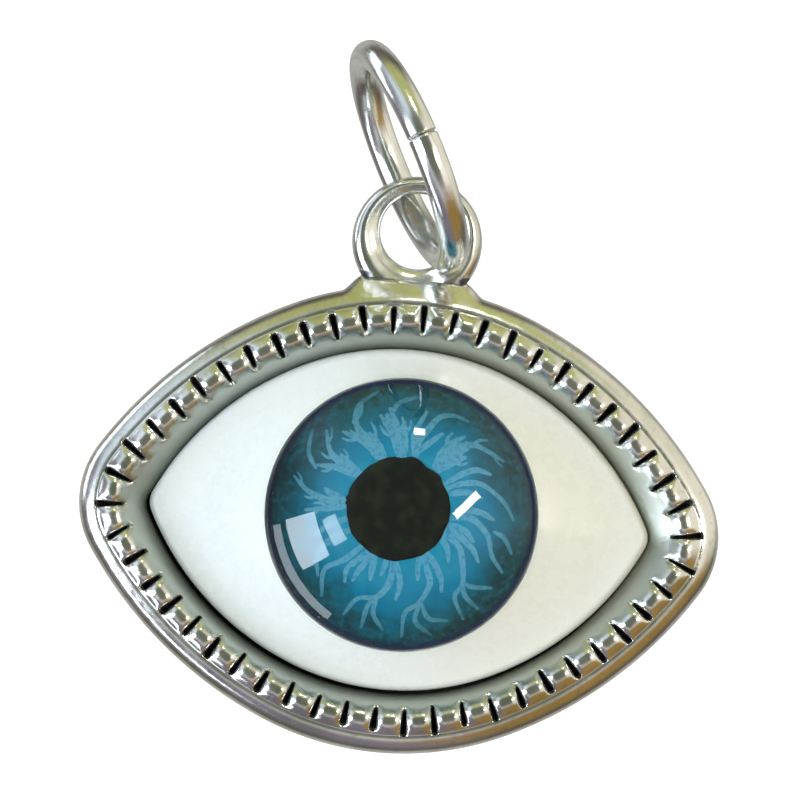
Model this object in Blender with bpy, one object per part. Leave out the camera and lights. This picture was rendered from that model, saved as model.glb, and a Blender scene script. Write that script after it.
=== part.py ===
"""Evil eye charm: a beaded metal bezel holding a domed almond eye, hung by its bail from an open jump ring.

Metres, +Z up, the eye faces -Y. The origin is where a chain bears on the inside of the jump ring's top.
"""

import math

import bmesh
import bpy
from mathutils import Vector

MM = 0.001

# Almond outlines: each quarter is a crown arc, a flatter flank arc and a tip arc that run into each other.
# The eye's centre is (0, 0) in its own X and Z.
HALF_WIDTH, HALF_HEIGHT = 12.06 * MM, 8.80 * MM
CROWN_RADIUS, CROWN_TURN, FLANK_TURN = 11.30 * MM, 24.0, 57.0  # turns are degrees from the top
OPENING_HALF_WIDTH, OPENING_HALF_HEIGHT = 9.72 * MM, 6.62 * MM
OPENING_CROWN_RADIUS, OPENING_CROWN_TURN, OPENING_FLANK_TURN = 9.70 * MM, 24.0, 62.0

# Depths are heights above the bezel's flat back.
BAIL_MID_HEIGHT = 1.30 * MM
POCKET_FLOOR = 1.00 * MM
BEZEL_PROFILE = (  # (inset from the outline, height), from the flat back round the outside to the bead row
    (0.34, 0.00),
    (0.00, 0.30),
    (0.00, 1.80),
    (0.20, 2.36),
    (0.72, 2.56),
)
WALL_PROFILE = (  # (share of the way from the bead row to the opening, height), down to the pocket's floor
    (0.50, 2.32),
    (1.00, 1.65),
    (1.00, 1.00),
)

BEADS = 50
BEAD_INNER, BEAD_OUTER = 1.74 * MM, 0.76 * MM  # insets of the bead row's two edges
BEAD_LINE = 1.22 * MM  # inset of the line along which the beads are evenly spaced
BEAD_CREST, BEAD_BASE, NOTCH_FLOOR = 3.00 * MM, 2.56 * MM, 2.30 * MM
BEAD_STATIONS = (0.0, 0.12, 0.5, 0.88)  # places along one bead, from one cut to the next
BEAD_STEPS = 3

# Facets of the round pieces.
RING_STEPS, WIRE_SIDES = 40, 10
BAIL_STEPS, BAIL_SIDES = 36, 12
SCLERA_STEPS, IRIS_STEPS, DOME_STEPS = 72, 40, 7

PLINTH_HALF_WIDTH = 2.15 * MM
BAIL_X = -0.13 * MM
PLINTH_TOP = 9.10 * MM
PLINTH_HALF_DEPTH = 1.00 * MM
JOINT_GAP = 0.04 * MM

BAIL_RADIUS, BAIL_CENTRE_Z = 2.45 * MM, 10.50 * MM
EYE_RADIUS, EYE_CENTRE_Z = 1.42 * MM, 10.87 * MM
BAIL_HALF_DEPTH = 0.68 * MM

# Jump ring: round wire bent to a circle, leaning left, turned a little and tilted forward through the bail.
WIRE_RADIUS = 0.575 * MM
RING_RADIUS = 4.07 * MM
RING_CENTRE = Vector((-0.68, -2.61, 13.58)) * MM
RING_LEAN = math.radians(26.6)
RING_TWIST = math.radians(10.0)
RING_GAP_AT = math.radians(84.0)
RING_GAP = 0.06 * MM

SCLERA_HALF_WIDTH, SCLERA_HALF_HEIGHT = 9.40 * MM, 6.42 * MM
SCLERA_CROWN_RADIUS, SCLERA_CROWN_TURN, SCLERA_FLANK_TURN = 9.60 * MM, 24.0, 64.0
SCLERA_EDGE, SCLERA_CROWN = 2.00 * MM, 2.85 * MM
BED_THICKNESS = 0.20 * MM
IRIS_CENTRE = Vector((0.09, 0.0, 0.20)) * MM
IRIS_RADIUS = 5.10 * MM
WELL_FLOOR = 2.10 * MM
IRIS_THICKNESS = 0.12 * MM
DOME_APEX = 5.00 * MM
DOME_EDGE = 2.80 * MM

RING_LONG = Vector((-math.sin(RING_LEAN), 0.0, math.cos(RING_LEAN)))
RING_SIDE = Vector((math.cos(RING_LEAN), 0.0, math.sin(RING_LEAN)))
RING_FRONT = RING_SIDE * math.sin(RING_TWIST) + Vector((0.0, -1.0, 0.0)) * math.cos(RING_TWIST)
RING_NORMAL = RING_LONG.cross(RING_FRONT)
HANG_POINT = RING_CENTRE + RING_LONG * (RING_RADIUS - WIRE_RADIUS)
HINGE_POINT = Vector((BAIL_X, 0.0, EYE_CENTRE_Z))


class Almond:
    """An almond of twelve arcs, three to each quarter, and the curves that run parallel to it inside."""

    def __init__(self, half_width, half_height, crown_radius, crown_turn, flank_turn):
        first, second = math.radians(crown_turn), math.radians(flank_turn)
        # The flank's and the tip's radii are what makes the three arcs end at (half_width, 0).
        width = half_width - crown_radius * math.sin(first)
        height = half_height - crown_radius * (1 - math.cos(first))
        flank_x, flank_z = math.sin(second) - math.sin(first), math.cos(first) - math.cos(second)
        tip_x, tip_z = 1 - math.sin(second), math.cos(second)
        scale = flank_x * tip_z - tip_x * flank_z
        flank_radius = (width * tip_z - tip_x * height) / scale
        tip_radius = (flank_x * height - width * flank_z) / scale
        self.arcs = []
        centre, start, before = Vector((0.0, 0.0, half_height - crown_radius)), 0.0, crown_radius
        for radius, end in ((crown_radius, first), (flank_radius, second), (tip_radius, math.pi / 2)):
            centre = centre + Vector((math.sin(start), 0.0, math.cos(start))) * (before - radius)
            self.arcs.append((centre, radius, start, end))
            start, before = end, radius

    def station(self, share, inset):
        """The arc's centre and radius, and the way out, at this share of the way round clockwise."""
        quarter, along = divmod((share % 1.0) * 4, 1.0)
        if quarter in (1, 3):
            along = 1.0 - along
        walk = along * sum((radius - inset) * (end - start) for _, radius, start, end in self.arcs)
        for centre, radius, start, end in self.arcs:
            length = (radius - inset) * (end - start)
            angle = min(start + walk / (radius - inset), end)
            if walk <= length:
                break
            walk -= length
        side = 1 if quarter in (0, 1) else -1
        up = 1 if quarter in (0, 3) else -1
        return (
            Vector((centre.x * side, 0.0, centre.z * up)),
            radius,
            Vector((math.sin(angle) * side, 0.0, math.cos(angle) * up)),
        )

    def loop(self, shares, inset, spaced_at=0.0):
        """Points parallel to the outline, placed where the line at the inset spaced_at is evenly walked."""
        points = []
        for share in shares:
            centre, radius, out = self.station(share, spaced_at)
            points.append(centre + out * (radius - inset))
        return points


BEZEL = Almond(HALF_WIDTH, HALF_HEIGHT, CROWN_RADIUS, CROWN_TURN, FLANK_TURN)
OPENING = Almond(
    OPENING_HALF_WIDTH, OPENING_HALF_HEIGHT, OPENING_CROWN_RADIUS, OPENING_CROWN_TURN, OPENING_FLANK_TURN
)
SCLERA = Almond(
    SCLERA_HALF_WIDTH, SCLERA_HALF_HEIGHT, SCLERA_CROWN_RADIUS, SCLERA_CROWN_TURN, SCLERA_FLANK_TURN
)


def depth(height):
    """The Y of a height above the bezel's back; the bail's middle plane is Y = 0."""
    return BAIL_MID_HEIGHT - height


def at_height(points, heights):
    return [Vector((point.x, depth(height), point.z)) for point, height in zip(points, heights)]


def level(points, height):
    return at_height(points, [height] * len(points))


def lofted(name, loops, closed=False):
    """A mesh through loops of equal length, capped at both ends or, if closed, joined end to end."""
    shape = bmesh.new()
    rings = [[shape.verts.new(point) for point in loop] for loop in loops]
    pairs = list(zip(rings, rings[1:] + rings[:1])) if closed else list(zip(rings, rings[1:]))
    for first, second in pairs:
        for i, corner in enumerate(first):
            after = (i + 1) % len(first)
            shape.faces.new((corner, first[after], second[after], second[i]))
    if not closed:
        shape.faces.new(rings[0])
        shape.faces.new(rings[-1][::-1])
    bmesh.ops.recalc_face_normals(shape, faces=shape.faces)
    mesh = bpy.data.meshes.new(name)
    shape.to_mesh(mesh)
    shape.free()
    return mesh


def material(name, colour, roughness, metallic=0.0, alpha=1.0):
    made = bpy.data.materials.new(name)
    made.use_nodes = True
    shader = made.node_tree.nodes["Principled BSDF"]
    shader.inputs["Base Color"].default_value = (*colour, 1.0)
    shader.inputs["Roughness"].default_value = roughness
    shader.inputs["Metallic"].default_value = metallic
    shader.inputs["Alpha"].default_value = alpha
    return made


def empty(name, location):
    made = bpy.data.objects.new(name, None)
    made.location = location
    bpy.context.scene.collection.objects.link(made)
    return made


def placed(name, mesh, parent, offset, finish):
    """One named piece under its body's empty, whose mesh is drawn round the eye's centre."""
    made = bpy.data.objects.new(name, mesh)
    bpy.context.scene.collection.objects.link(made)
    made.parent = parent
    made.location = offset
    mesh.materials.append(finish)
    mesh.shade_smooth()
    mesh.set_sharp_from_angle(angle=math.radians(40))
    return made


def cutter(name, low, high, parent, offset):
    """A hidden box for a Boolean."""
    shape = bmesh.new()
    bmesh.ops.create_cube(shape, size=1.0)
    for vert in shape.verts:
        vert.co = [lo + (hi - lo) * (co + 0.5) for lo, hi, co in zip(low, high, vert.co)]
    mesh = bpy.data.meshes.new(name)
    shape.to_mesh(mesh)
    shape.free()
    made = bpy.data.objects.new(name, mesh)
    bpy.context.scene.collection.objects.link(made)
    made.parent = parent
    made.location = offset
    made.hide_render = True
    made.display_type = "WIRE"
    return made


def boolean(piece, tool, operation):
    change = piece.modifiers.new(tool.name, "BOOLEAN")
    change.object = tool
    change.operation = operation
    change.solver = "EXACT"


def bead_height(along, across):
    """Height of the bead row: along runs 0 to 1 from cut to cut, across -1 to 1 from inner to outer edge."""
    crown = math.sqrt(max(0.0, 1.0 - across * across))
    if along == 0.0:
        return NOTCH_FLOOR
    shoulder = 1.0 if along == 0.5 else 0.62
    return BEAD_BASE + (BEAD_CREST - BEAD_BASE) * crown * shoulder


def bezel_mesh():
    shares = [(bead + along + 0.3) / BEADS for bead in range(BEADS) for along in BEAD_STATIONS]
    alongs = [along for _ in range(BEADS) for along in BEAD_STATIONS]
    loops = [
        level(BEZEL.loop(shares, inset * MM, BEAD_LINE), height * MM) for inset, height in BEZEL_PROFILE
    ]
    for step in range(BEAD_STEPS + 1):
        across = 1.0 - 2.0 * step / BEAD_STEPS
        inset = BEAD_INNER + (BEAD_OUTER - BEAD_INNER) * (across + 1.0) / 2.0
        heights = [bead_height(along, across) for along in alongs]
        loops.append(at_height(BEZEL.loop(shares, inset, BEAD_LINE), heights))
    bead_foot = BEZEL.loop(shares, BEAD_INNER, BEAD_LINE)
    opening = OPENING.loop(shares, 0.0)
    for share, height in WALL_PROFILE:
        points = [a.lerp(b, share) for a, b in zip(bead_foot, opening)]
        loops.append(level(points, height * MM))
    return lofted("bezel_frame", loops)


def bail_mesh():
    """A loop between two circles, thinnest at its top, with rounded edges all round."""
    loops = []
    for step in range(BAIL_STEPS):
        angle = 2 * math.pi * step / BAIL_STEPS
        out = Vector((math.sin(angle), 0.0, math.cos(angle)))
        drop = BAIL_CENTRE_Z - EYE_CENTRE_Z
        reach = drop * out.z + math.sqrt(BAIL_RADIUS**2 - (drop * out.x) ** 2)
        middle, half = (reach + EYE_RADIUS) / 2, (reach - EYE_RADIUS) / 2
        section = []
        for turn in range(BAIL_SIDES):
            around = 2 * math.pi * turn / BAIL_SIDES
            radial = middle + half * math.copysign(abs(math.cos(around)) ** 0.85, math.cos(around))
            across = BAIL_HALF_DEPTH * math.copysign(abs(math.sin(around)) ** 0.85, math.sin(around))
            section.append(Vector((BAIL_X, across, EYE_CENTRE_Z)) + out * radial)
        loops.append(section)
    return lofted("bail_loop", loops, closed=True)


def ring_mesh():
    """Round wire bent to a circle whose two cut ends almost meet."""
    half_gap = RING_GAP / (2 * RING_RADIUS)
    loops = []
    for step in range(RING_STEPS + 1):
        angle = RING_GAP_AT + half_gap + (2 * math.pi - 2 * half_gap) * step / RING_STEPS
        out = RING_LONG * math.cos(angle) + RING_FRONT * math.sin(angle)
        centre = RING_CENTRE + out * RING_RADIUS
        loops.append(
            [
                centre + (out * math.cos(turn) + RING_NORMAL * math.sin(turn)) * WIRE_RADIUS
                for turn in (2 * math.pi * side / WIRE_SIDES for side in range(WIRE_SIDES))
            ]
        )
    return lofted("jump_ring", loops)


def circle(points, radius):
    """Points on the iris's circle, in the directions of the given outline points."""
    made = []
    for point in points:
        out = Vector((point.x - IRIS_CENTRE.x, 0.0, point.z - IRIS_CENTRE.z)).normalized()
        made.append(IRIS_CENTRE + out * radius)
    return made


def sclera_mesh():
    """The almond body: flat back, crowned front, and a round well that holds the iris."""
    shares = [i / SCLERA_STEPS for i in range(SCLERA_STEPS)]
    edge = SCLERA.loop(shares, 0.0)
    rim = circle(edge, IRIS_RADIUS + JOINT_GAP)
    back = POCKET_FLOOR + BED_THICKNESS + 2 * JOINT_GAP
    loops = [level(edge, back), level(edge, SCLERA_EDGE)]
    for step in range(1, 4):
        share = step / 3
        points = [a.lerp(b, share) for a, b in zip(edge, rim)]
        rise = (SCLERA_CROWN - SCLERA_EDGE) * math.sin(share * math.pi / 2)
        loops.append(level(points, SCLERA_EDGE + rise))
    loops.append(level(rim, WELL_FLOOR))
    return lofted("eye_sclera", loops)


def round_loops(profile):
    """Loops round the iris's centre, one for each (radius, height)."""
    turns = [2 * math.pi * i / IRIS_STEPS for i in range(IRIS_STEPS)]
    outs = [Vector((math.sin(turn), 0.0, math.cos(turn))) for turn in turns]
    return [level([IRIS_CENTRE + out * radius for out in outs], height) for radius, height in profile]


def iris_mesh():
    low = WELL_FLOOR + JOINT_GAP
    return lofted("iris_disc", round_loops([(IRIS_RADIUS, low), (IRIS_RADIUS, low + IRIS_THICKNESS)]))


def dome_mesh():
    """A clear cap: a short upright edge, then part of a sphere up to the apex."""
    low = WELL_FLOOR + IRIS_THICKNESS + 2 * JOINT_GAP
    rise = DOME_APEX - DOME_EDGE
    sphere = (IRIS_RADIUS**2 + rise**2) / (2 * rise)
    widest = math.asin(IRIS_RADIUS / sphere)
    profile = [(IRIS_RADIUS, low)]
    for step in range(DOME_STEPS):
        angle = widest * (1 - step / DOME_STEPS)
        profile.append((sphere * math.sin(angle), DOME_APEX - sphere * (1 - math.cos(angle))))
    return lofted("cornea_dome", round_loops(profile))


def bed_mesh():
    shares = [i / SCLERA_STEPS for i in range(SCLERA_STEPS)]
    low = POCKET_FLOOR + JOINT_GAP
    loop = SCLERA.loop(shares, 0.2 * MM)
    return lofted("adhesive_bed", [level(loop, low), level(loop, low + BED_THICKNESS)])


def main():
    for old in list(bpy.data.objects):
        bpy.data.objects.remove(old, do_unlink=True)

    plated = material("plated_zinc", (0.72, 0.71, 0.67), 0.22, metallic=1.0)
    bail_finish = material("plated_loop", (0.70, 0.69, 0.64), 0.2, metallic=1.0)
    steel = material("bright_wire", (0.80, 0.80, 0.80), 0.12, metallic=1.0)
    white = material("white_acrylic", (0.86, 0.88, 0.87), 0.25)
    print_blue = material("printed_iris", (0.05, 0.30, 0.42), 0.5)
    clear = material("clear_dome", (0.85, 0.95, 1.0), 0.03, alpha=0.35)
    epoxy = material("adhesive", (0.75, 0.72, 0.55), 0.4)

    ring_empty = empty("ring_body", (0.0, 0.0, 0.0))
    swing_empty = empty("pendant_body", HINGE_POINT - HANG_POINT)
    swing_empty.parent = ring_empty
    from_ring, from_hinge = -HANG_POINT, -HINGE_POINT

    placed("jump_ring", ring_mesh(), ring_empty, from_ring, steel)

    bezel = placed("bezel_frame", bezel_mesh(), swing_empty, from_hinge, plated)
    plinth = cutter(
        "plinth_shape",
        (BAIL_X - PLINTH_HALF_WIDTH, -PLINTH_HALF_DEPTH, HALF_HEIGHT - 1.2 * MM),
        (BAIL_X + PLINTH_HALF_WIDTH, PLINTH_HALF_DEPTH, PLINTH_TOP),
        swing_empty,
        from_hinge,
    )
    boolean(bezel, plinth, "UNION")

    bail = placed("bail_loop", bail_mesh(), swing_empty, from_hinge, bail_finish)
    foot = cutter(
        "bail_foot_cut",
        (-2 * BAIL_RADIUS, -2 * BAIL_HALF_DEPTH, HALF_HEIGHT - 2 * MM),
        (2 * BAIL_RADIUS, 2 * BAIL_HALF_DEPTH, PLINTH_TOP + JOINT_GAP),
        swing_empty,
        from_hinge,
    )
    boolean(bail, foot, "DIFFERENCE")

    placed("adhesive_bed", bed_mesh(), swing_empty, from_hinge, epoxy)
    placed("eye_sclera", sclera_mesh(), swing_empty, from_hinge, white)
    placed("iris_disc", iris_mesh(), swing_empty, from_hinge, print_blue)
    placed("cornea_dome", dome_mesh(), swing_empty, from_hinge, clear)


main()
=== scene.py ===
"""Looks of the evil eye charm: finished metal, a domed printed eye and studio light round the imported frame.

Metres, +Z up, the eye faces -Y. The pieces are drawn in millimetres round the eye's own centre, with Y = 0 at
the middle of the bail's thickness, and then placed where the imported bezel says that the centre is.
"""

import math
import random

import bmesh
import bpy
from mathutils import Matrix, Vector
from mathutils.geometry import delaunay_2d_cdt


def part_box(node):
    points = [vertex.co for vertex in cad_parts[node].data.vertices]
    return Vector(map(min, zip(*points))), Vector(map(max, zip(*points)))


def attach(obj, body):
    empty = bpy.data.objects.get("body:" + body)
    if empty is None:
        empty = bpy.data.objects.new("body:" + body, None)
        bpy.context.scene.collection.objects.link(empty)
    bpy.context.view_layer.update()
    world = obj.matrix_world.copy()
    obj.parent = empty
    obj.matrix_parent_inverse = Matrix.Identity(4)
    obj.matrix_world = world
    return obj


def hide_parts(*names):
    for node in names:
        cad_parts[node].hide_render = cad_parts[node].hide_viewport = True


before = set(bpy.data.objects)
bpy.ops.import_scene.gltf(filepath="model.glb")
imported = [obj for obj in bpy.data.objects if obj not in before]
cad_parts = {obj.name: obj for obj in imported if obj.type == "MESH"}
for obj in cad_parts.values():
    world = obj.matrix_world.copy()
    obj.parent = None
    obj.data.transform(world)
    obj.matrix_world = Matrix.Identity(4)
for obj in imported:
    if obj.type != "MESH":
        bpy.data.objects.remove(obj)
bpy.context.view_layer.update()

MM = 0.001

# Almond outlines: half width, half height, crown radius, then the crown's and the flank's turns from the top.
BEZEL_SHAPE = (12.06, 8.80, 11.30, 24.0, 57.0)
SCLERA_SHAPE = (9.40, 6.42, 9.60, 24.0, 64.0)

# Heights are above the bezel's flat back.
BAIL_MID_HEIGHT = 1.30
POCKET_FLOOR = 1.00

# The bead row: BEAD_PHASE shifts it by part of a bead, the beads are evenly spaced along the inset BEAD_LINE,
# and the cuts are ordinary again TIP_CUTS beads away from an almond tip.
BEADS = 50
BEAD_PHASE = 0.3
BEAD_LINE = 1.22
TIP_CUTS = 3.5

# The bead row's plain cross-section as (inset, height).
RIDGE = (
    (0.665, 2.600),
    (0.74, 2.625),
    (0.86, 2.76),
    (1.01, 2.89),
    (1.17, 2.95),
    (1.32, 2.96),
    (1.46, 2.92),
    (1.60, 2.82),
    (1.74, 2.67),
)
RIDGE_FOOT, RIDGE_CREST_AT = 2.62, 1.25
# The outer band's roll, as (inset, height) half axes, stops where its cosine falls to BAND_ROLL_END.
BAND_ROLL, BAND_ROLL_END = (0.80, 1.02), 0.20
# Each bead rounds off towards its cuts by this much, over this share of its length.
SHOULDER_DROP, SHOULDER_REACH = 0.24, 0.37

# The wall between the bead row and the insert, and the crack left round the insert.
WALL_STEPS, WALL_FOOT = 8, 1.70
GAP_LEAST, GAP_MOST = 0.006, 0.13

PLINTH_HALF_WIDTH, BAIL_X, PLINTH_TOP, PLINTH_HALF_DEPTH = 2.15, -0.13, 9.10, 1.00

BAIL_RADIUS, BAIL_CENTRE_Z = 2.45, 10.50
HOLE_RADIUS, HOLE_CENTRE_Z = 1.42, 10.87
BAIL_HALF_DEPTH = 0.68

WIRE_RADIUS, RING_RADIUS = 0.575, 4.07
RING_CENTRE = Vector((-0.68, -2.61, 13.58))
RING_LEAN, RING_TWIST = math.radians(26.6), math.radians(10.0)
RING_GAP_AT, RING_GAP = math.radians(84.0), 0.06
WIRE_STREAK = 0.05  # how much the wire's grain is drawn out along its length

SCLERA_EDGE, SCLERA_CROWN, SCLERA_ROUND = 2.00, 2.85, 0.30
BED_TOP = 1.24
IRIS_CENTRE = Vector((0.09, 0.0, 0.20))
IRIS_RADIUS, WELL_RADIUS, WELL_FLOOR = 5.10, 5.14, 2.10
IRIS_TOP = 2.25
DOME_APEX, DOME_EDGE = 5.00, 2.80
IRIS_SHADOWS = (  # dark clouds of the print: place and reach
    (Vector((-3.6, 0.0, 2.3)), 2.0),
    (Vector((-4.3, 0.0, 0.9)), 1.3),
    (Vector((3.9, 0.0, 2.2)), 1.9),
    (Vector((4.3, 0.0, -1.2)), 1.5),
    (Vector((-2.9, 0.0, -3.0)), 1.5),
    (Vector((1.2, 0.0, 4.6)), 1.2),
)

PUPIL_CENTRE = Vector((-0.04, 0.0, 0.40))
PUPIL_RADIUS = 1.72

CAMERA_DISTANCE, CAMERA_FIELD = 300.0, 30.14
CAMERA_ROLL = math.radians(4.5)
CAMERA_AIM = Vector((-0.305, 0.0, 4.496))  # from the eye's centre

# The backdrop, in metres: how low its floor is, how far it is flat and the radius of its curve.
BOWL_FLOOR, BOWL_FLAT, BOWL_CURVE = -0.30, 0.55, 0.45

low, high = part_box("bezel_frame")
CENTRE = Vector(((low.x + high.x) / 2, high.y - BAIL_MID_HEIGHT * MM, low.z + BEZEL_SHAPE[1] * MM))


# ---------------------------------------------------------------- outlines and mesh helpers


class Almond:
    """An almond of twelve arcs, three to each quarter, and the curves that run parallel to it inside."""

    def __init__(self, half_width, half_height, crown_radius, crown_turn, flank_turn):
        first, second = math.radians(crown_turn), math.radians(flank_turn)
        width = half_width - crown_radius * math.sin(first)
        height = half_height - crown_radius * (1 - math.cos(first))
        flank_x, flank_z = math.sin(second) - math.sin(first), math.cos(first) - math.cos(second)
        tip_x, tip_z = 1 - math.sin(second), math.cos(second)
        scale = flank_x * tip_z - tip_x * flank_z
        flank_radius = (width * tip_z - tip_x * height) / scale
        tip_radius = (flank_x * height - width * flank_z) / scale
        self.arcs = []
        centre, start, before = Vector((0.0, 0.0, half_height - crown_radius)), 0.0, crown_radius
        for radius, end in ((crown_radius, first), (flank_radius, second), (tip_radius, math.pi / 2)):
            centre = centre + Vector((math.sin(start), 0.0, math.cos(start))) * (before - radius)
            self.arcs.append((centre, radius, start, end))
            start, before = end, radius

    def station(self, share, inset):
        """The arc's centre and radius, and the way out, at this share of the way round clockwise."""
        quarter, along = divmod((share % 1.0) * 4, 1.0)
        if quarter in (1, 3):
            along = 1.0 - along
        walk = along * sum((radius - inset) * (end - start) for _, radius, start, end in self.arcs)
        for centre, radius, start, end in self.arcs:
            length = (radius - inset) * (end - start)
            angle = min(start + walk / (radius - inset), end)
            if walk <= length:
                break
            walk -= length
        side = 1 if quarter in (0, 1) else -1
        up = 1 if quarter in (0, 3) else -1
        return (
            Vector((centre.x * side, 0.0, centre.z * up)),
            radius,
            Vector((math.sin(angle) * side, 0.0, math.cos(angle) * up)),
        )


BEZEL, SCLERA = Almond(*BEZEL_SHAPE), Almond(*SCLERA_SHAPE)


def smooth(low_end, high_end, value):
    share = min(1.0, max(0.0, (value - low_end) / (high_end - low_end)))
    return share * share * (3 - 2 * share)


def at(x, z, height):
    """A point in own millimetres from a height above the bezel's back."""
    return Vector((x, BAIL_MID_HEIGHT - height, z))


def smooth_path(points, steps):
    """A Catmull-Rom curve through the points, with this many steps from each to the next."""
    ends = [points[0] * 2 - points[1]] + list(points) + [points[-1] * 2 - points[-2]]
    path = [points[0].copy()]
    for before, start, end, after in zip(ends, ends[1:], ends[2:], ends[3:]):
        for step in range(1, steps + 1):
            t = step / steps
            path.append(
                0.5
                * (
                    2 * start
                    + (end - before) * t
                    + (2 * before - 5 * start + 4 * end - after) * t**2
                    + (3 * start - before - 3 * end + after) * t**3
                )
            )
    return path


def lofted(name, loops, closed=False, **marks):
    """A closed mesh through loops of equal length. Each mark is one float per point, kept under its name."""
    shape = bmesh.new()
    rings = [[shape.verts.new(point * MM) for point in loop] for loop in loops]
    nexts = rings[1:] + (rings[:1] if closed else [])
    for first, second in zip(rings, nexts):
        for i, corner in enumerate(first):
            after = (i + 1) % len(first)
            shape.faces.new((corner, first[after], second[after], second[i]))
    if not closed:
        shape.faces.new(rings[0])
        shape.faces.new(rings[-1][::-1])
    bmesh.ops.recalc_face_normals(shape, faces=shape.faces)
    mesh = bpy.data.meshes.new(name)
    shape.to_mesh(mesh)
    shape.free()
    for key, rows in marks.items():
        attribute = mesh.attributes.new(key, "FLOAT", "POINT")
        attribute.data.foreach_set("value", [mark for row in rows for mark in row])
    return mesh


def placed(name, mesh, finish, body, slot, *nodes, sharp=50.0):
    """One shown piece, drawn round the eye's centre, that rides on its body and stands for CAD nodes."""
    made = bpy.data.objects.new(name, mesh)
    bpy.context.scene.collection.objects.link(made)
    made.location = CENTRE
    mesh.materials.append(finish)
    mesh.shade_smooth()
    mesh.set_sharp_from_angle(angle=math.radians(sharp))
    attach(made, body)
    if nodes:
        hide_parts(*nodes)
    return made


# ---------------------------------------------------------------- material helpers


class Nodes:
    """A material and short calls that add its nodes."""

    def __init__(self, name):
        self.material = bpy.data.materials.new(name)
        self.material.use_nodes = True
        self.tree = self.material.node_tree
        self.shader = self.tree.nodes["Principled BSDF"]
        self.object = self.add("ShaderNodeTexCoord").outputs["Object"]

    def add(self, kind, **settings):
        node = self.tree.nodes.new(kind)
        for key, value in settings.items():
            setattr(node, key, value)
        return node

    def join(self, source, target):
        if isinstance(source, bpy.types.NodeSocket):
            self.tree.links.new(source, target)
        else:
            target.default_value = source

    def set(self, **values):
        """Gives the shader's sockets plain values or links; names use _ for a space."""
        for key, value in values.items():
            self.join(value, self.shader.inputs[key.replace("_", " ")])

    def noise(self, size, detail=2.0, roughness=0.5, vector=None, stretch=None, offset=(0, 0, 0)):
        """Noise whose features are about this many millimetres wide; stretch scales the axes first."""
        place = self.add("ShaderNodeMapping")
        self.join(vector or self.object, place.inputs["Vector"])
        place.inputs["Scale"].default_value = stretch or (1, 1, 1)
        place.inputs["Location"].default_value = offset
        node = self.add("ShaderNodeTexNoise")
        self.join(place.outputs[0], node.inputs["Vector"])
        node.inputs["Scale"].default_value = 1 / (size * MM)
        node.inputs["Detail"].default_value = detail
        node.inputs["Roughness"].default_value = roughness
        return node.outputs["Fac"]

    def math(self, operation, first, second=0.0, third=0.0):
        node = self.add("ShaderNodeMath", operation=operation)
        for socket, value in zip(node.inputs, (first, second, third)):
            self.join(value, socket)
        return node.outputs[0]

    def ranged(self, value, from_low, from_high, to_low=0.0, to_high=1.0, kind="SMOOTHSTEP"):
        node = self.add("ShaderNodeMapRange", interpolation_type=kind)
        self.join(value, node.inputs["Value"])
        for key, number in (
            ("From Min", from_low),
            ("From Max", from_high),
            ("To Min", to_low),
            ("To Max", to_high),
        ):
            self.join(number, node.inputs[key])
        return node.outputs[0]

    def mix(self, share, first, second, blend="MIX"):
        node = self.add("ShaderNodeMix", data_type="RGBA", blend_type=blend)
        self.join(share, node.inputs["Factor"])
        for socket, value in ((node.inputs[6], first), (node.inputs[7], second)):
            self.join(value if isinstance(value, bpy.types.NodeSocket) else (*value, 1.0), socket)
        return node.outputs[2]

    def ramp(self, value, stops):
        node = self.add("ShaderNodeValToRGB")
        self.join(value, node.inputs["Fac"])
        elements = node.color_ramp.elements
        while len(elements) < len(stops):
            elements.new(0.5)
        for element, (position, colour) in zip(elements, stops):
            element.position = position
            element.color = (*colour, 1.0)
        return node.outputs["Color"]

    def bump(self, height, depth, strength=1.0):
        """Bump of this many millimetres at full strength."""
        node = self.add("ShaderNodeBump")
        self.join(height, node.inputs["Height"])
        node.inputs["Distance"].default_value = depth * MM
        node.inputs["Strength"].default_value = strength
        return node.outputs["Normal"]

    def attribute(self, name):
        return self.add("ShaderNodeAttribute", attribute_name=name).outputs["Fac"]

    def distance(self, centre):
        """Millimetres from this own XZ place, measured in the plane of the eye."""
        flat = self.add("ShaderNodeVectorMath", operation="MULTIPLY")
        self.join(self.object, flat.inputs[0])
        flat.inputs[1].default_value = (1000.0, 0.0, 1000.0)
        node = self.add("ShaderNodeVectorMath", operation="DISTANCE")
        self.join(flat.outputs[0], node.inputs[0])
        node.inputs[1].default_value = (centre.x, 0.0, centre.z)
        return node.outputs["Value"]


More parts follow.
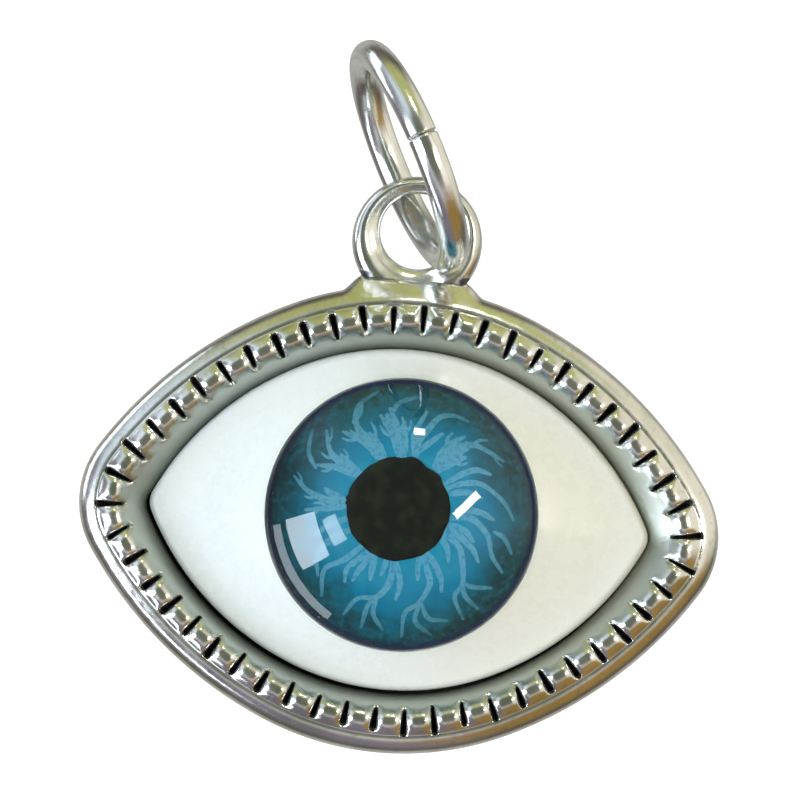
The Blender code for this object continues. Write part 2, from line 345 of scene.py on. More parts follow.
def plated_metal():
    """Silver plate: uneven tint, rubbed crests, a matte inner wall, black patina in cuts, painted shade in
    hollows.
    """
    nodes = Nodes("silver_plate")
    patina, wall = nodes.attribute("patina"), nodes.attribute("wall")
    cloud = nodes.noise(2.2, 3.0)
    fine = nodes.noise(0.35, 4.0, 0.6)
    silver = nodes.mix(nodes.ranged(cloud, 0.35, 0.65), (0.88, 0.885, 0.86), (0.70, 0.72, 0.66))
    worn = nodes.mix(nodes.ranged(fine, 0.50, 0.72, 0.0, 0.45), silver, (0.52, 0.53, 0.50))
    # Painted shade: the wall's colour darkens from grey-green near the beads to near black at the insert.
    deep = nodes.ranged(wall, 0.0, 1.0, kind="LINEAR")
    cast = nodes.mix(deep, (0.62, 0.66, 0.61), (0.20, 0.22, 0.18))
    base = nodes.mix(nodes.ranged(wall, 0.0, 0.25), worn, cast)
    # Black from the mark: patina in the bead cuts; painted shade in the top crevice, the bail's crease and
    # foot, and the gap round the insert.
    black = nodes.math("MULTIPLY", nodes.ranged(patina, 0.15, 0.75), nodes.ranged(fine, 0.2, 0.5, 0.8, 1.0))
    matte = nodes.ranged(wall, 0.0, 0.3, 0.0, 0.16)
    rough = nodes.math("ADD", nodes.ranged(fine, 0.3, 0.75, 0.14, 0.27), matte)
    nodes.set(
        Base_Color=nodes.mix(black, base, (0.016, 0.014, 0.018)),
        Metallic=nodes.math("SUBTRACT", 1.0, nodes.math("MULTIPLY", black, 0.75)),
        Roughness=nodes.math("ADD", rough, nodes.math("MULTIPLY", black, 0.3)),
        Normal=nodes.bump(nodes.math("ADD", cloud, nodes.math("MULTIPLY", fine, 0.16)), 0.05, 0.7),
    )
    return nodes.material


def wire_metal():
    """Drawn wire: streaks along its length, soft dents and a few rubbed patches."""
    nodes = Nodes("bright_wire")
    cloud = nodes.noise(1.7, 3.0)
    along = nodes.add("ShaderNodeAttribute", attribute_name="wire").outputs["Vector"]
    streaks = nodes.noise(0.22, 3.0, 0.6, vector=along)
    silver = nodes.mix(nodes.ranged(cloud, 0.35, 0.7), (0.90, 0.91, 0.90), (0.74, 0.76, 0.75))
    nodes.set(
        Base_Color=nodes.mix(nodes.ranged(streaks, 0.46, 0.66, 0.0, 0.5), silver, (0.55, 0.58, 0.55)),
        Metallic=1.0,
        Roughness=nodes.ranged(streaks, 0.3, 0.75, 0.12, 0.26),
        Normal=nodes.bump(nodes.math("ADD", cloud, nodes.math("MULTIPLY", streaks, 0.25)), 0.06, 0.6),
    )
    return nodes.material


def white_acrylic():
    """Glossy white with painted light, cool at the left and warm at the right, painted shade round the iris,
    and a moulded skin's ripple.
    """
    nodes = Nodes("white_acrylic")
    parts = nodes.add("ShaderNodeSeparateXYZ")
    nodes.join(nodes.object, parts.inputs[0])
    speck = nodes.noise(0.5, 3.0, 0.6)
    ripple = nodes.noise(1.6, 1.0, stretch=(1.0, 1.0, 0.2))
    # Painted light: cool at the left, warm at the right, as if lit by side lamps of those colours.
    side_light_tint = nodes.math("ADD", parts.outputs["X"], nodes.math("MULTIPLY", nodes.noise(6.0, 1.0), 4 * MM))
    base = nodes.mix(nodes.ranged(side_light_tint, -5 * MM, 9 * MM), (0.80, 0.865, 0.89), (0.84, 0.84, 0.775))
    # Painted shade: a grey-green ring on the white just outside the iris.
    iris_edge_shade = nodes.ranged(nodes.distance(IRIS_CENTRE), IRIS_RADIUS + 0.04, IRIS_RADIUS + 0.30, 0.45, 0.0)
    base = nodes.mix(iris_edge_shade, base, (0.66, 0.74, 0.68))
    nodes.set(
        Base_Color=base,
        Roughness=nodes.ranged(speck, 0.3, 0.7, 0.22, 0.34),
        IOR=1.49,
        Normal=nodes.bump(nodes.math("ADD", ripple, nodes.math("MULTIPLY", speck, 0.02)), 0.06, 0.5),
    )
    return nodes.material


def printed_iris():
    """Blue print: clear blue round the pupil, blotched dark teal outwards and a navy edge line."""
    nodes = Nodes("iris_print")
    radius = nodes.distance(IRIS_CENTRE)
    blotch = nodes.noise(1.1, 3.0, 0.6)
    fibre = nodes.noise(0.26, 4.0, 0.65)
    wobble = nodes.math(
        "ADD", nodes.ranged(blotch, 0.25, 0.75, -0.50, 0.50), nodes.ranged(fibre, 0.3, 0.7, -0.14, 0.14)
    )
    print_colour = nodes.ramp(
        nodes.math("DIVIDE", nodes.math("ADD", radius, wobble), IRIS_RADIUS),
        [
            (0.35, (0.014, 0.205, 0.310)),
            (0.47, (0.004, 0.170, 0.290)),
            (0.60, (0.003, 0.135, 0.235)),
            (0.70, (0.005, 0.098, 0.150)),
            (0.80, (0.008, 0.074, 0.096)),
            (0.90, (0.008, 0.042, 0.052)),
        ],
    )
    for place, reach in IRIS_SHADOWS:
        spot = nodes.math("ADD", nodes.distance(place), nodes.ranged(blotch, 0.3, 0.7, -0.7, 0.7))
        shade = nodes.ranged(spot, reach, 0.3 * reach, 0.0, 0.72)
        print_colour = nodes.mix(shade, print_colour, (0.010, 0.042, 0.046))
    patch = nodes.noise(0.8, 3.0, 0.65, offset=(3.1, 0.0, 1.7))
    dark = nodes.math("MULTIPLY", nodes.ranged(patch, 0.44, 0.60), nodes.ranged(radius, 2.9, 4.5, 0.0, 0.62))
    print_colour = nodes.mix(dark, print_colour, (0.005, 0.022, 0.024))
    mottled = nodes.mix(nodes.ranged(fibre, 0.45, 0.70, 0.0, 0.35), print_colour, (0.012, 0.160, 0.240))
    edge = nodes.ranged(radius, 4.52, 4.80)
    edged = nodes.mix(edge, mottled, (0.012, 0.018, 0.048))
    rim = nodes.ranged(radius, 4.86, 5.02)
    nodes.set(
        Base_Color=nodes.mix(rim, edged, (0.035, 0.050, 0.110)),
        Roughness=nodes.ranged(fibre, 0.3, 0.7, 0.55, 0.7),
        Specular_IOR_Level=0.0,
    )
    return nodes.material


def vein_ink():
    """Pale blue near the pupil that sinks into the dark rim of the print."""
    nodes = Nodes("vein_ink")
    radius = nodes.distance(IRIS_CENTRE)
    mottle = nodes.noise(0.28, 3.0, 0.6)
    specks = nodes.noise(0.16, 3.0, 0.6)
    colour = nodes.ramp(
        nodes.math(
            "DIVIDE", nodes.math("ADD", radius, nodes.ranged(mottle, 0.3, 0.7, -0.25, 0.25)), IRIS_RADIUS
        ),
        [
            (0.36, (0.070, 0.262, 0.390)),
            (0.55, (0.076, 0.262, 0.368)),
            (0.70, (0.064, 0.215, 0.282)),
            (0.82, (0.034, 0.135, 0.165)),
            (0.92, (0.014, 0.066, 0.078)),
        ],
    )
    nodes.set(
        Base_Color=nodes.mix(nodes.ranged(specks, 0.45, 0.68, 0.0, 0.7), colour, (0.012, 0.165, 0.270)),
        Roughness=nodes.ranged(mottle, 0.3, 0.7, 0.55, 0.7),
        Specular_IOR_Level=0.0,
    )
    return nodes.material


def pupil_ink():
    """Near black, unevenly inked."""
    nodes = Nodes("pupil_ink")
    speck = nodes.noise(0.5, 3.0)
    nodes.set(
        Base_Color=nodes.mix(nodes.ranged(speck, 0.4, 0.7), (0.008, 0.009, 0.008), (0.014, 0.018, 0.012)),
        Roughness=nodes.ranged(speck, 0.3, 0.7, 0.55, 0.7),
        Specular_IOR_Level=0.0,
    )
    return nodes.material


def clear_dome():
    """Clear polished acrylic, whose slow poured ripple bends its reflections a little."""
    nodes = Nodes("clear_dome")
    wave = nodes.noise(4.0, 1.0)
    nodes.set(
        Base_Color=(0.97, 0.99, 1.0, 1.0),
        Roughness=nodes.ranged(wave, 0.3, 0.7, 0.0, 0.03),
        IOR=1.47,
        Transmission_Weight=1.0,
        Normal=nodes.bump(wave, 0.05, 0.25),
    )
    return nodes.material


def cured_adhesive():
    """Clear yellow glue with a few cloudy bubbles."""
    nodes = Nodes("cured_adhesive")
    bubble = nodes.noise(0.5, 2.0)
    nodes.set(
        Base_Color=nodes.mix(nodes.ranged(bubble, 0.4, 0.7), (0.62, 0.58, 0.40), (0.70, 0.67, 0.52)),
        Roughness=nodes.ranged(bubble, 0.3, 0.7, 0.25, 0.45),
        Normal=nodes.bump(bubble, 0.03),
    )
    return nodes.material


# ---------------------------------------------------------------- bezel


HALF_BEAD = (0.0, 0.018, 0.036, 0.056, 0.08, 0.11, 0.15, 0.20, 0.27, 0.35, 0.43)
BEAD_STATIONS = HALF_BEAD + (0.5,) + tuple(1 - place for place in reversed(HALF_BEAD[1:]))


def superellipse(steps, power=1.0):
    """Quarter turn shares (cosine, sine) from the side to the top."""
    turns = [math.pi / 2 * step / steps for step in range(steps + 1)]
    return [(math.cos(turn) ** power, math.sin(turn) ** power) for turn in turns]


def bezel_sections():
    """(inset, height) from the flat back round the outside to the bead row's outer edge."""
    section = [(3.2, 0.0), (1.2, 0.0), (0.50, 0.0)]
    section += [(0.34 * (1 - s), 0.34 * (1 - c)) for s, c in superellipse(6)]
    section += [(0.0, height) for height in (0.45, 0.60, 0.80, 1.05, 1.30, 1.50)]
    section += [
        (BAND_ROLL[0] * (1 - c), 1.60 + BAND_ROLL[1] * s) for c, s in superellipse(18) if c > BAND_ROLL_END
    ]
    return section


def plinth_lift(x, z, height):
    """How far a point of the bezel's outside is raised to the plinth that carries the bail."""
    if z < 0:
        return 0.0
    wide = 1 - smooth(PLINTH_HALF_WIDTH - 0.30, PLINTH_HALF_WIDTH + 0.56, abs(x - BAIL_X))
    deep = 1 - smooth(PLINTH_HALF_DEPTH - 0.70, PLINTH_HALF_DEPTH + 0.20, abs(height - BAIL_MID_HEIGHT))
    return max(0.0, PLINTH_TOP - z) * wide * deep


def bead_row(rng):
    """One row per cut between beads: its half width, depth, slant, outer and inner end, and painted crevice
    shade.

    The cuts at the almond's two tips are longer and thinner than the rest.
    """
    rows = []
    for i in range(BEADS):
        share = (i + BEAD_PHASE) / BEADS
        tip = max(0.0, 1 - min(abs(share - 0.25), abs(share - 0.75)) * BEADS / TIP_CUTS)
        rows.append(
            (
                rng.uniform(0.060, 0.085) * (1 - 0.25 * tip),
                rng.uniform(0.40, 0.52),
                rng.uniform(-0.10, 0.10),
                rng.uniform(0.74, 0.94) - 0.14 * tip,
                rng.uniform(1.56, 1.78) + 0.12 * tip,
                rng.uniform(0.3, 1.0),
            )
        )
    return rows


def bead_point(bead, along, inset, height, cuts, top):
    """(height, patina) on the bead row, where along runs 0 to 1 between this bead's two cuts.

    height is the plain ridge's; top is 1 along the almond's top, where the crevice gets painted shade, 0
    elsewhere.
    """
    crown = smooth(RIDGE_FOOT, RIDGE_FOOT + 0.30, height) if inset < RIDGE_CREST_AT else 1.0
    crown *= 1 - smooth(1.60, 1.90, inset)
    patina = 0.0
    for cut, distance in ((cuts[bead % BEADS], along), (cuts[(bead + 1) % BEADS], 1 - along)):
        half_width, depth, _, outer_end, inner_end, crevice = cut
        half_width *= 1.25 - 0.45 * smooth(outer_end, inner_end, inset)
        within = smooth(outer_end - 0.10, outer_end + 0.06, inset) * (
            1 - smooth(inner_end - 0.14, inner_end + 0.06, inset)
        )
        height -= SHOULDER_DROP * crown * max(0.0, 1 - distance / SHOULDER_REACH) ** 2
        height -= depth * within * (1 - smooth(half_width * 0.35, half_width * 1.5, distance))
        patina = max(patina, within * (1 - smooth(half_width * 0.8, half_width * 1.6, distance)))
        # Painted shade: dark in the crevice outside the row beside each cut, along the top only.
        gully = smooth(0.62, 0.68, inset) * (1 - smooth(0.76, 0.86, inset))
        near = 1 - smooth(0.07, 0.07 + 0.6 * crevice**2, distance)
        patina = max(patina, 0.55 * top * gully * near)
    return height, patina


def bezel_mesh():
    """The whole casting in one loft: back, outside with plinth, outer band, bead row, wall and pocket."""
    rng = random.Random(7)
    cuts = bead_row(rng)
    places = [(bead, along) for bead in range(BEADS) for along in BEAD_STATIONS]
    shares = [(bead + along + BEAD_PHASE) / BEADS for bead, along in places]
    count = len(places)
    loops, patinas, walls = [], [], []

    def add(points, patina, wall):
        loops.append(points)
        patinas.append(patina)
        walls.append([wall] * count)

    stations = [BEZEL.station(share, BEAD_LINE) for share in shares]
    for inset, height in bezel_sections():
        points = []
        for centre, radius, out in stations:
            point = centre + out * (radius - inset)
            points.append(at(point.x, point.z + plinth_lift(point.x, point.z, height), height))
        add(points, [0.0] * count, 0.0)
    for inset, plain in smooth_path([Vector(pair) for pair in RIDGE], 3):
        points, patina = [], []
        for (bead, along), share in zip(places, shares):
            slant = cuts[bead % BEADS if along < 0.5 else (bead + 1) % BEADS][2]
            lean = slant * (inset - BEAD_LINE) * abs(2 * along - 1) ** 3
            centre, radius, out = BEZEL.station(share + lean / BEADS, BEAD_LINE)
            point = centre + out * (radius - inset)
            # Painted shade goes into the crevice outside the row only along the top, right of the middle.
            top = (1 - smooth(4.2, 6.6, abs(point.x - 0.6))) if point.z > 0 else 0.0
            height, mark = bead_point(bead, along, inset, plain, cuts, top)
            points.append(at(point.x, point.z, height))
            patina.append(mark)
        add(points, patina, 0.30 * smooth(1.36, 1.70, inset))
    feet = []
    for share in shares:
        centre, radius, out = SCLERA.station(share, 0.0)
        low_left = smooth(-0.25, 0.85, -out.z * 0.86 - out.x * 0.5)
        feet.append(centre + out * (radius + GAP_LEAST + (GAP_MOST - GAP_LEAST) * low_left))
    start_inset, start_height = RIDGE[-1]
    starts = [centre + out * (radius - start_inset) for centre, radius, out in stations]
    # Painted shade: the wall mark darkens the wall's colour step by step towards the insert; it also makes it
    # matte.
    for step in range(1, WALL_STEPS + 1):
        share = step / WALL_STEPS
        height = start_height - (start_height - WALL_FOOT) * (0.80 * share + 0.20 * share**2)
        blend = [a.lerp(b, share) for a, b in zip(starts, feet)]
        add([at(p.x, p.z, height) for p in blend], [0.0] * count, 0.30 + 0.60 * smooth(0.0, 1.1, share))
    # Painted shade: the gap round the insert and the pocket floor are marked dark.
    for height, mark in ((WALL_FOOT - 0.12, 0.5), (1.30, 0.9), (POCKET_FLOOR, 0.9)):
        add([at(p.x, p.z, height) for p in feet], [mark] * count, 1.0)
    for share in (0.85, 0.4):
        add([at(p.x * share, p.z * share, POCKET_FLOOR) for p in feet], [0.6] * count, 1.0)
    return lofted("bezel_rim", loops, patina=patinas, wall=walls)


# ---------------------------------------------------------------- bail


def bail_mesh():
    """The cast loop: a broad round roll outside, a crease, then a narrow roll that turns into the hole."""
    steps, half = 120, BAIL_HALF_DEPTH
    # The third column paints shade: its small marks darken the crease between the two rolls.
    section = [  # (share of the way from the hole to the outside, depth share, patina), front half
        (0.000, 0.00, 0.0),
        (0.000, 0.20, 0.0),
        (0.015, 0.36, 0.0),
        (0.055, 0.50, 0.0),
        (0.120, 0.62, 0.0),
        (0.200, 0.71, 0.0),
        (0.280, 0.77, 0.05),
        (0.335, 0.80, 0.22),
        (0.390, 0.85, 0.10),
        (0.460, 0.92, 0.0),
        (0.550, 0.98, 0.0),
        (0.640, 1.00, 0.0),
        (0.740, 0.97, 0.0),
        (0.830, 0.87, 0.0),
        (0.900, 0.71, 0.0),
        (0.955, 0.50, 0.0),
        (0.990, 0.25, 0.0),
        (1.000, 0.00, 0.0),
    ]
    whole = section + [(share, -deep, mark) for share, deep, mark in reversed(section[1:-1])]
    loops, marks = [], []
    drop = BAIL_CENTRE_Z - HOLE_CENTRE_Z
    for step in range(steps):
        angle = 2 * math.pi * step / steps
        out = Vector((math.sin(angle), 0.0, math.cos(angle)))
        reach = drop * out.z + math.sqrt(BAIL_RADIUS**2 - (drop * out.x) ** 2)
        centre = Vector((BAIL_X, 0.0, HOLE_CENTRE_Z))
        loop, mark_row = [], []
        for share, deep, mark in whole:
            radial = HOLE_RADIUS + (reach - HOLE_RADIUS) * share
            point = centre + out * radial + Vector((0.0, -half * deep, 0.0))
            # Painted shade: the loop darkens at its foot on the plinth, most at the foot's two sides.
            near = 1 - smooth(PLINTH_TOP + 0.04, PLINTH_TOP + 0.30, point.z)
            near *= 0.12 + 0.88 * smooth(1.45, 1.95, abs(point.x - BAIL_X))
            loop.append(point)
            mark_row.append(max(mark, near))
        loops.append(loop)
        marks.append(mark_row)
    mesh = lofted("bail_ring_loop", loops, closed=True, patina=marks)
    return cut_below(mesh, (PLINTH_TOP - 0.08) * MM)


def cut_below(mesh, level):
    """Removes what lies under a height and closes the mesh there."""
    shape = bmesh.new()
    shape.from_mesh(mesh)
    everything = shape.verts[:] + shape.edges[:] + shape.faces[:]
    cut = bmesh.ops.bisect_plane(
        shape, geom=everything, plane_co=(0, 0, level), plane_no=(0, 0, -1), clear_outer=True
    )
    edges = [item for item in cut["geom_cut"] if isinstance(item, bmesh.types.BMEdge)]
    bmesh.ops.holes_fill(shape, edges=edges)
    bmesh.ops.recalc_face_normals(shape, faces=shape.faces)
    shape.to_mesh(mesh)
    shape.free()
    return mesh


# ---------------------------------------------------------------- jump ring


def ring_mesh():
    """Round wire bent to a circle; its two sawn ends almost meet and their edges are broken a little."""
    long_way = Vector((-math.sin(RING_LEAN), 0.0, math.cos(RING_LEAN)))
    side_way = Vector((math.cos(RING_LEAN), 0.0, math.sin(RING_LEAN)))
    front_way = side_way * math.sin(RING_TWIST) + Vector((0.0, -1.0, 0.0)) * math.cos(RING_TWIST)
    normal = long_way.cross(front_way)
    half_gap = RING_GAP / (2 * RING_RADIUS)
    steps, sides = 180, 28
    stations = [(0.0, 0.90), (0.03, 0.975), (0.07, 1.0)]
    span = (2 * math.pi - 2 * half_gap) * RING_RADIUS
    stations += [(span * step / steps, 1.0) for step in range(1, steps)]
    stations += [(span - place, size) for place, size in reversed(stations[:3])]
    loops, along = [], []
    for place, size in stations:
        angle = RING_GAP_AT + half_gap + place / RING_RADIUS
        out = long_way * math.cos(angle) + front_way * math.sin(angle)
        centre = RING_CENTRE + out * RING_RADIUS
        turns = [2 * math.pi * side / sides for side in range(sides)]
        along += [(math.cos(turn) * MM, math.sin(turn) * MM, place * WIRE_STREAK * MM) for turn in turns]
        loops.append(
            [
                centre + (out * math.cos(turn) + normal * math.sin(turn)) * WIRE_RADIUS * size
                for turn in turns
            ]
        )
    mesh = lofted("jump_ring_wire", loops)
    attribute = mesh.attributes.new("wire", "FLOAT_VECTOR", "POINT")
    attribute.data.foreach_set("vector", [number for place in along for number in place])
    return mesh


# ---------------------------------------------------------------- eye


def sclera_mesh():
    """The almond body: flat back, softened edge, crowned front and the round well for the iris."""
    count = 320
    edge, outs = [], []
    for i in range(count):
        centre, radius, out = SCLERA.station(i / count, 0.0)
        edge.append(centre + out * radius)
        outs.append(out)
    rim = []
    for point in edge:
        out = Vector((point.x - IRIS_CENTRE.x, 0.0, point.z - IRIS_CENTRE.z)).normalized()
        rim.append(IRIS_CENTRE + out * WELL_RADIUS)
    inner = [point - out * SCLERA_ROUND for point, out in zip(edge, outs)]
    loops = [[at(p.x * 0.5, p.z * 0.5, BED_TOP + 0.04) for p in edge]]
    loops.append([at(p.x - o.x * 0.06, p.z - o.z * 0.06, BED_TOP + 0.04) for p, o in zip(edge, outs)])
    loops.append([at(p.x, p.z, BED_TOP + 0.10) for p in edge])
    for cosine, sine in superellipse(8):
        shift = SCLERA_ROUND * (1 - cosine)
        height = SCLERA_EDGE - SCLERA_ROUND + SCLERA_ROUND * sine
        loops.append([at(p.x - o.x * shift, p.z - o.z * shift, height) for p, o in zip(edge, outs)])
    steps = 24
    rises = [(SCLERA_CROWN - SCLERA_EDGE) * (1 - math.exp(-(a - b).length / 1.6)) for a, b in zip(inner, rim)]
    for step in range(1, steps + 1):
        share = step / steps
        loops.append(
            [
                at(a.x + (b.x - a.x) * share, a.z + (b.z - a.z) * share, SCLERA_EDGE + rise * share**1.3)
                for a, b, rise in zip(inner, rim, rises)
            ]
        )
    for height in (2.40, 2.25, WELL_FLOOR):
        loops.append([at(p.x, p.z, height) for p in rim])
    floor = [IRIS_CENTRE.lerp(p, 0.5) for p in rim]
    loops.append([at(p.x, p.z, WELL_FLOOR) for p in floor])
    return lofted("sclera_shell", loops)


def round_mesh(name, profile, count=192):
    """A turned shape round the iris's centre through (radius, height) pairs."""
    outs = [(math.sin(2 * math.pi * i / count), math.cos(2 * math.pi * i / count)) for i in range(count)]
    return lofted(
        name,
        [
            [at(IRIS_CENTRE.x + x * radius, IRIS_CENTRE.z + z * radius, height) for x, z in outs]
            for radius, height in profile
        ],
    )


def iris_mesh():
    """The printed disc, with its edges broken."""
    low_face, edge = WELL_FLOOR + 0.04, 0.02
    shoulder = IRIS_RADIUS - edge
    profile = [(2.5, low_face), (shoulder, low_face), (IRIS_RADIUS, low_face + edge)]
    profile += [(IRIS_RADIUS, IRIS_TOP - edge)]
    profile += [(radius, IRIS_TOP) for radius in (shoulder, 4.0, 2.5, 0.6)]
    return round_mesh("iris_print", profile)


def dome_mesh():
    """The clear cap, which closes over the print: upright edge, softened shoulder, then part of a sphere."""
    rise = DOME_APEX - DOME_EDGE
    sphere = (IRIS_RADIUS**2 + rise**2) / (2 * rise)
    widest = math.asin(IRIS_RADIUS / sphere)
    base = WELL_FLOOR + 0.02
    profile = [(2.5, base), (IRIS_RADIUS - 0.02, base), (IRIS_RADIUS, base + 0.03)]
    profile += [(IRIS_RADIUS, 2.4), (IRIS_RADIUS, DOME_EDGE - 0.10), (IRIS_RADIUS - 0.012, DOME_EDGE - 0.03)]
    steps = 40
    for step in range(1, steps):
        angle = widest * (1 - step / steps)
        profile.append((sphere * math.sin(angle), DOME_APEX - sphere * (1 - math.cos(angle))))
    return round_mesh("cornea_glass", profile)


def flat_solid(name, outlines, low_face, high_face):
    """One closed flat solid from overlapping closed XZ outlines."""
    points, faces = [], []
    for outline in outlines:
        start = len(points)
        points += outline
        faces.append(list(range(start, start + len(outline))))
    verts, _, tris, *_ = delaunay_2d_cdt([Vector(p) for p in points], [], faces, 1, 1e-5)
    shape = bmesh.new()
    top = [shape.verts.new(at(v.x, v.y, high_face) * MM) for v in verts]
    bottom = [shape.verts.new(at(v.x, v.y, low_face) * MM) for v in verts]
    edges = {}
    for tri in tris:
        shape.faces.new([top[i] for i in tri])
        shape.faces.new([bottom[i] for i in reversed(tri)])
        for i, corner in enumerate(tri):
            after = tri[(i + 1) % len(tri)]
            key = (min(corner, after), max(corner, after))
            edges.setdefault(key, []).append((corner, after))
    for uses in edges.values():
        if len(uses) == 1:
            a, b = uses[0]
            shape.faces.new((top[b], top[a], bottom[a], bottom[b]))
    loose = [vert for vert in shape.verts if not vert.link_faces]
    bmesh.ops.delete(shape, geom=loose, context="VERTS")
    bmesh.ops.recalc_face_normals(shape, faces=shape.faces)
    mesh = bpy.data.meshes.new(name)
    shape.to_mesh(mesh)
    shape.free()
    return mesh


def stroke(path, widths):
    """The closed outline of a tapering stroke with round ends."""
    left, right = [], []
    for i, point in enumerate(path):
        before, after = path[max(0, i - 1)], path[min(len(path) - 1, i + 1)]
        way = (after - before).normalized()
        side = Vector((-way.y, way.x)) * widths[i] / 2
        left.append(point + side)
        right.append(point - side)

    def cap(point, way, width):
        side = Vector((-way.y, way.x))
        turns = [math.pi * k / 6 for k in range(1, 6)]
        return [point + (side * math.cos(t) + way * math.sin(t)) * width / 2 for t in turns]

    end = cap(path[-1], (path[-1] - path[-2]).normalized(), widths[-1])
    start = cap(path[0], (path[0] - path[1]).normalized(), widths[0])
    return left + end + right[::-1] + start


# The print's plumes. Each strand is its width at both ends and the places it passes, as degrees clockwise
# from the top and millimetres from the pupil's centre, both as they look through the dome.
PLUMES = (
    ((0.42, 0.20), (-2, 1.9), (-8, 2.7), (-15, 3.5)),
    ((0.46, 0.22), (0, 1.9), (-4, 2.8), (-9, 3.7)),
    ((0.38, 0.18), (2, 1.9), (1, 2.6), (0, 3.2)),
    ((0.18, 0.12), (-8, 3.5), (-4, 3.9), (6, 4.2)),
    ((0.50, 0.20), (-22, 1.9), (-30, 2.7), (-40, 3.5)),
    ((0.50, 0.15), (-22, 1.9), (-27, 2.7), (-31, 3.4), (-27, 4.0)),
    ((0.45, 0.20), (-20, 1.9), (-22, 2.5), (-25, 3.0)),
    ((0.45, 0.20), (-54, 1.9), (-59, 2.6), (-66, 3.4)),
    ((0.40, 0.13), (-53, 1.9), (-55, 2.7), (-54, 3.3), (-47, 3.9)),
    ((0.40, 0.20), (-52, 1.9), (-52, 2.4), (-51, 2.9)),
    ((0.40, 0.14), (-90, 1.9), (-94, 2.6), (-95, 3.4)),
    ((0.40, 0.12), (-88, 1.9), (-87, 2.7), (-83, 3.4), (-77, 4.0)),
    ((0.34, 0.20), (-86, 1.9), (-82, 2.5), (-79, 2.8)),
    ((0.34, 0.18), (-105, 1.9), (-108, 2.7), (-112, 3.3)),
    ((0.34, 0.15), (-118, 1.9), (-119, 2.7), (-124, 3.4), (-134, 3.8)),
    ((0.30, 0.13), (-140, 1.9), (-138, 2.7), (-134, 3.5), (-143, 4.2)),
    ((0.34, 0.14), (-150, 1.9), (-146, 2.4), (-144, 2.9), (-148, 3.3)),
    ((0.36, 0.16), (-155, 1.9), (-152, 2.6), (-152, 3.1)),
    ((0.34, 0.18), (-158, 1.9), (-161, 2.4), (-163, 2.8)),
    ((0.28, 0.18), (188, 1.9), (189, 2.2), (190, 2.5)),
    ((0.34, 0.13), (181, 1.9), (182, 2.7), (189, 3.3), (200, 3.6), (203, 4.3)),
    ((0.20, 0.12), (189, 3.3), (193, 3.7), (193, 4.5)),
    ((0.20, 0.12), (189, 3.3), (189, 3.9), (183, 4.4)),
    ((0.30, 0.15), (178, 1.9), (174, 2.7), (177, 3.3)),
    ((0.30, 0.15), (150, 1.9), (157, 2.3), (160, 2.7)),
    ((0.34, 0.12), (147, 1.9), (150, 2.5), (153, 3.0), (163, 3.5), (172, 3.8), (174, 4.6)),
    ((0.20, 0.12), (162, 3.5), (167, 4.1), (161, 4.7)),
    ((0.20, 0.14), (162, 3.5), (160, 4.1), (152, 4.4)),
    ((0.32, 0.18), (143, 1.9), (142, 2.4), (144, 3.0), (148, 3.4)),
    ((0.32, 0.15), (120, 1.9), (124, 2.3), (132, 2.7)),
    ((0.32, 0.14), (115, 1.9), (117, 2.6), (126, 3.1), (135, 3.6), (143, 3.8), (145, 4.6)),
    ((0.20, 0.12), (135, 3.6), (138, 4.0), (137, 4.6)),
    ((0.20, 0.12), (134, 3.6), (132, 3.9), (126, 4.4)),
    ((0.36, 0.18), (110, 1.9), (110, 2.5), (114, 3.1), (119, 3.5)),
    ((0.32, 0.14), (97, 1.9), (93, 2.7), (102, 3.4), (112, 3.8), (117, 4.4)),
    ((0.26, 0.22), (86, 2.2), (88, 3.0), (92, 3.5)),
    ((0.34, 0.16), (103, 1.9), (104, 2.6), (109, 3.0)),
    ((0.15, 0.10), (99, 3.6), (101, 4.0), (107, 4.4)),
    ((0.28, 0.20), (58, 1.9), (57, 2.6), (59, 3.2), (65, 3.6)),
    ((0.28, 0.13), (63, 1.9), (64, 2.5), (68, 3.1), (75, 3.5), (83, 3.9), (91, 4.2)),
    ((0.32, 0.15), (69, 1.9), (72, 2.6), (78, 3.1)),
    ((0.45, 0.20), (37, 2.1), (34, 2.9), (38, 3.6)),
    ((0.42, 0.13), (39, 2.1), (39, 3.0), (45, 3.6), (53, 3.9), (61, 4.2)),
    ((0.40, 0.22), (42, 2.1), (45, 2.7), (48, 3.1)),
    ((0.36, 0.15), (14, 2.1), (13, 2.7), (16, 3.1), (20, 3.7), (27, 4.0), (34, 4.1)),
    ((0.30, 0.16), (12, 2.1), (8, 2.9), (12, 3.7)),
    ((0.28, 0.20), (16, 2.3), (22, 2.8), (26, 3.2)),
    ((0.16, 0.10), (-32, 3.6), (-25, 4.1), (-14, 4.4)),
    ((0.14, 0.10), (-68, 3.4), (-62, 3.9), (-52, 4.3)),
)
STRAND_LEAST = 0.165
BARB_REACH, BARBED_FROM = (0.35, 0.65), 0.37  # strands wider than BARBED_FROM get two side strokes
DOME_PULL = 0.87  # how far from the centre a spot really lies, for one that seems 1 away, near the middle


